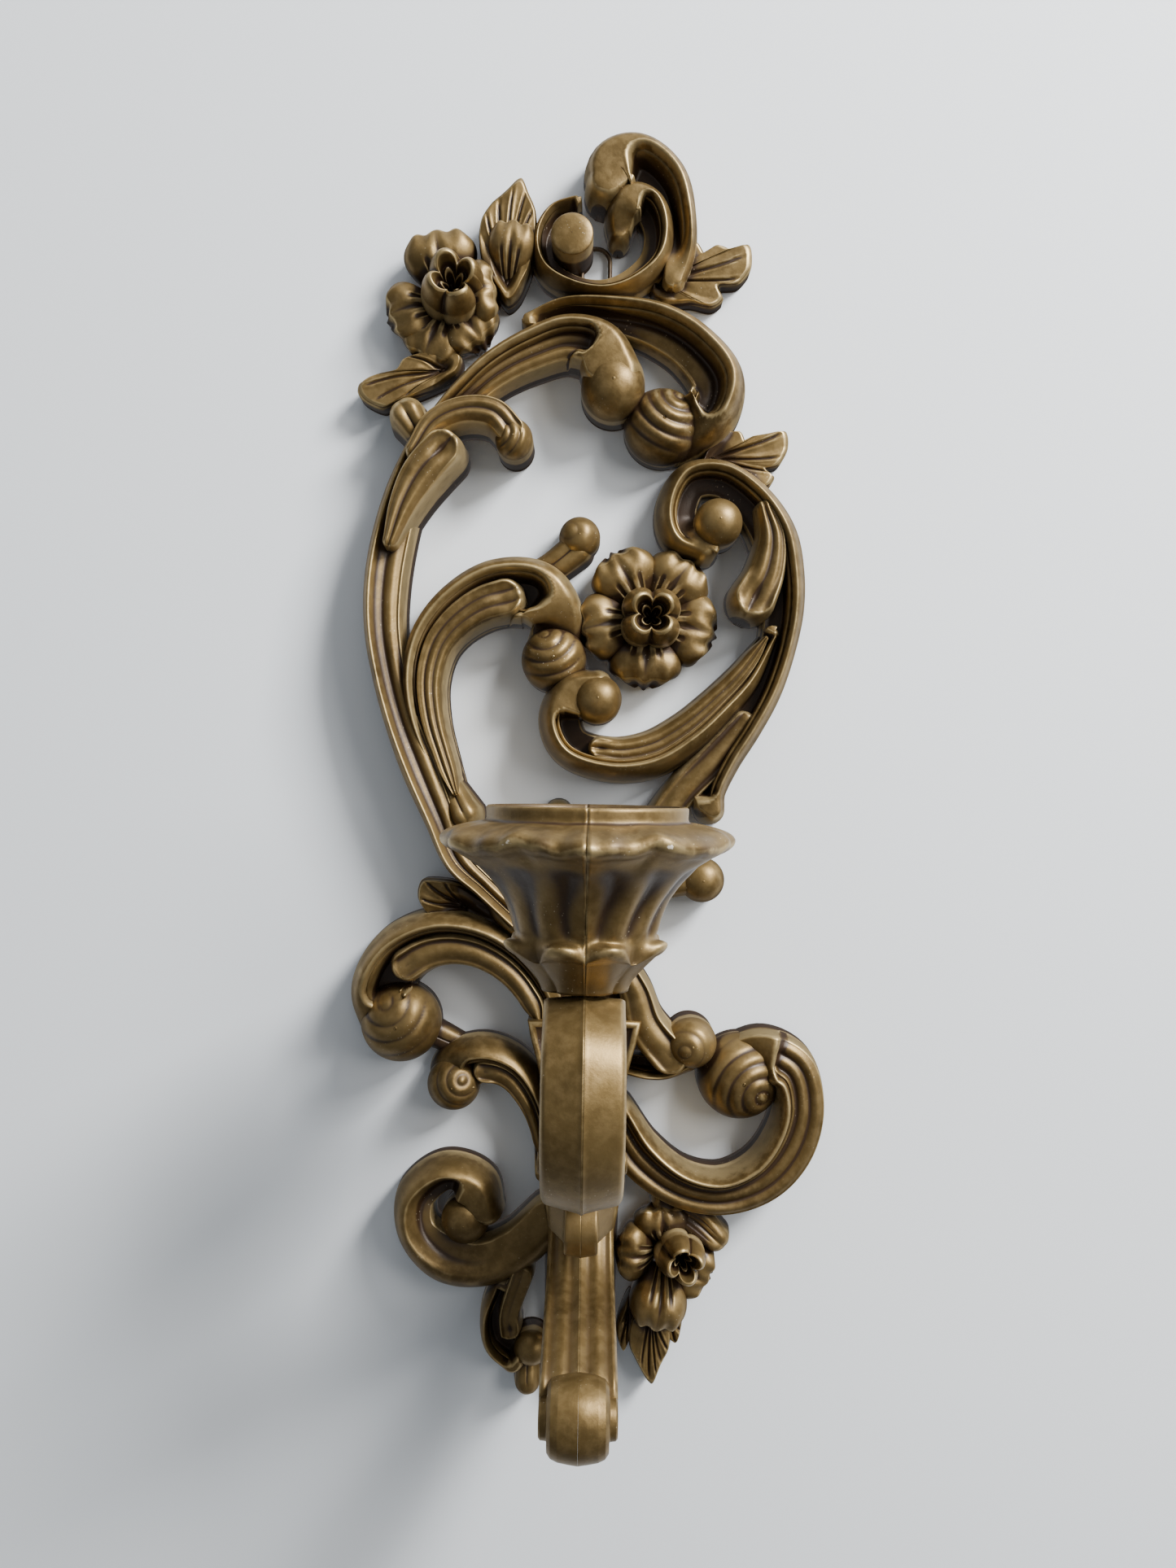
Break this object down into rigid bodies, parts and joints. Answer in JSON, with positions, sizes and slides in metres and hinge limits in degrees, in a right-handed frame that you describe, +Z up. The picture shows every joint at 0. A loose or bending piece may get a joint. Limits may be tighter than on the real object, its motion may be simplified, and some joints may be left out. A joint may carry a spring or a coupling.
{
  "type": "wall sconce candle holder",
  "caption": "Rococo scroll wall sconce: pierced plate of scrolls and flowers, a double-scroll arm and one cup for a candle, hung by a wire at the back.",
  "frame": {"origin": "on the wall plane behind the arm, at the middle of the wall face mount", "axes": "+Z up, +X to the viewer's right, -Y out from the wall, which is the plane Y = 0"},
  "size_m": [0.1855, 0.159, 0.4936],
  "materials": {
    "gilt_plastic": "antique bronze gold paint over moulded plastic, dark glaze in the recesses",
    "liner_metal": "dull drawn metal",
    "screw_steel": "plain",
    "hanger_metal": "dark bronze wire and strap"
  },
  "bodies": {
    "sconce": {"plate_spine": "gilt_plastic", "crest_scrolls": "gilt_plastic", "flower_upper": "gilt_plastic", "arch_scrolls": "gilt_plastic", "flower_middle": "gilt_plastic", "right_scroll": "gilt_plastic", "ring_scroll": "gilt_plastic", "middle_scroll": "gilt_plastic", "left_stem": "gilt_plastic", "lower_left_scroll": "gilt_plastic", "bottom_scroll": "gilt_plastic", "lower_right_scroll": "gilt_plastic", "flower_lower": "gilt_plastic", "arm_half_left": "gilt_plastic", "arm_half_right": "gilt_plastic", "cup_half_left": "gilt_plastic", "cup_half_right": "gilt_plastic", "cup_screw": "screw_steel", "arm_screw_upper": "screw_steel", "arm_screw_lower": "screw_steel", "hanger_screw_left": "screw_steel", "hanger_screw_right": "screw_steel", "hanger_strap": "hanger_metal"},
    "liner": {"candle_liner": "liner_metal"},
    "hanger": {"hanger_wire": "hanger_metal"}
  },
  "joints": [
    {"name": "liner_lift", "type": "slide", "parent": "sconce", "child": "liner", "axis": [0, 0, 1], "range_m": [0, 0.06]},
    {"name": "hanger_swing", "type": "hinge", "parent": "sconce", "child": "hanger", "pos_m": [0, -0.0018, 0.3025], "axis": [-1, 0, 0], "range_deg": [0, 110]}
  ]
}
